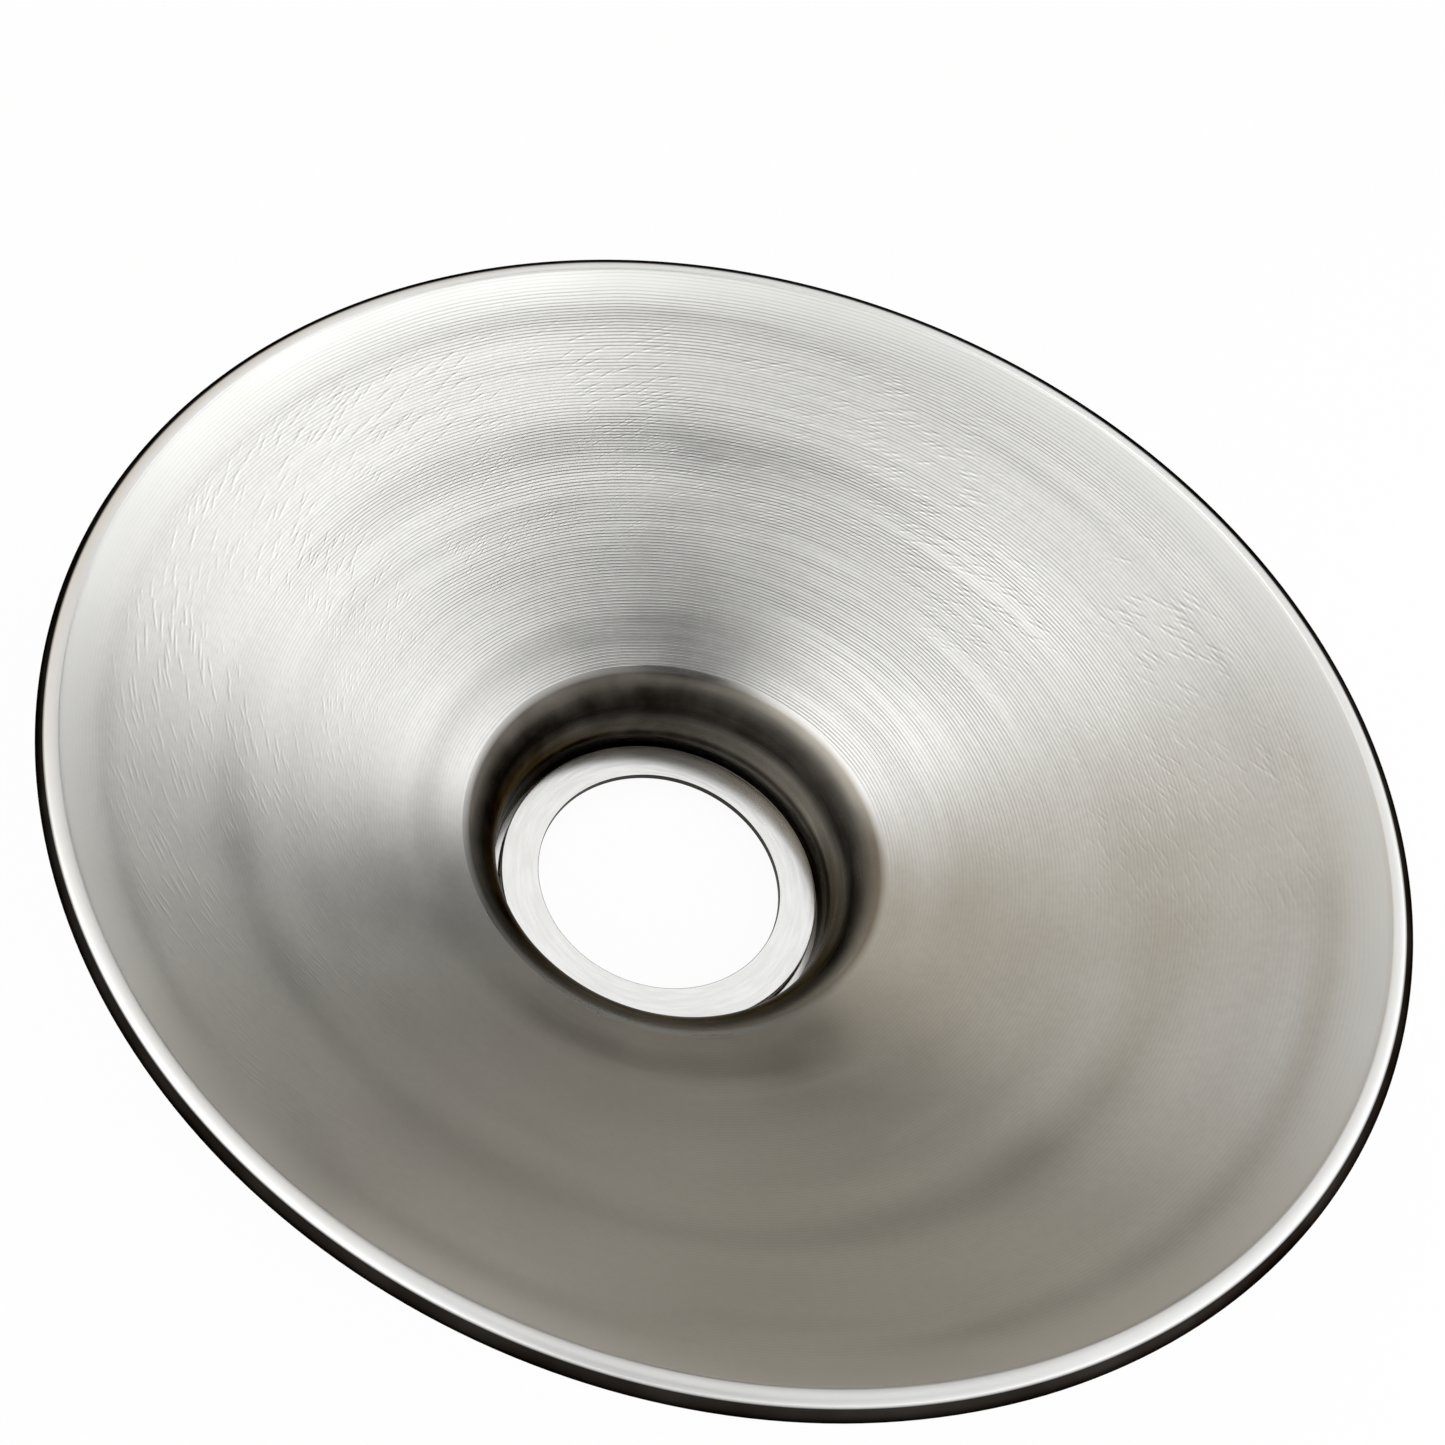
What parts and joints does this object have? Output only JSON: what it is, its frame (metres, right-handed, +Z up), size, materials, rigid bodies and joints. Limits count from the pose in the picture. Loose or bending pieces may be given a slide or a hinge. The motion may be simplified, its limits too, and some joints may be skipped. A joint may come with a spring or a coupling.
{
  "type": "canning funnel",
  "caption": "Wide shallow steel funnel with a rolled, wired rim and a short neck set in a flat-ringed collar that drops into a jar's mouth.",
  "frame": {"origin": "middle of the collar's foot, on the face that the funnel stands on", "axes": "+Z up along the funnel's axis, from the outlet to the rim; +X and +Y level, with no preferred direction"},
  "size_m": [0.18, 0.18, 0.0545],
  "materials": {
    "bowl_sheet": "satin spun, with fine lines round the axis",
    "wire": "drawn wire, dull",
    "collar_sheet": "bright satin, pressed"
  },
  "bodies": {
    "root": {"bowl": "bowl_sheet", "rim_wire": "wire", "neck_collar": "collar_sheet"}
  },
  "joints": []
}
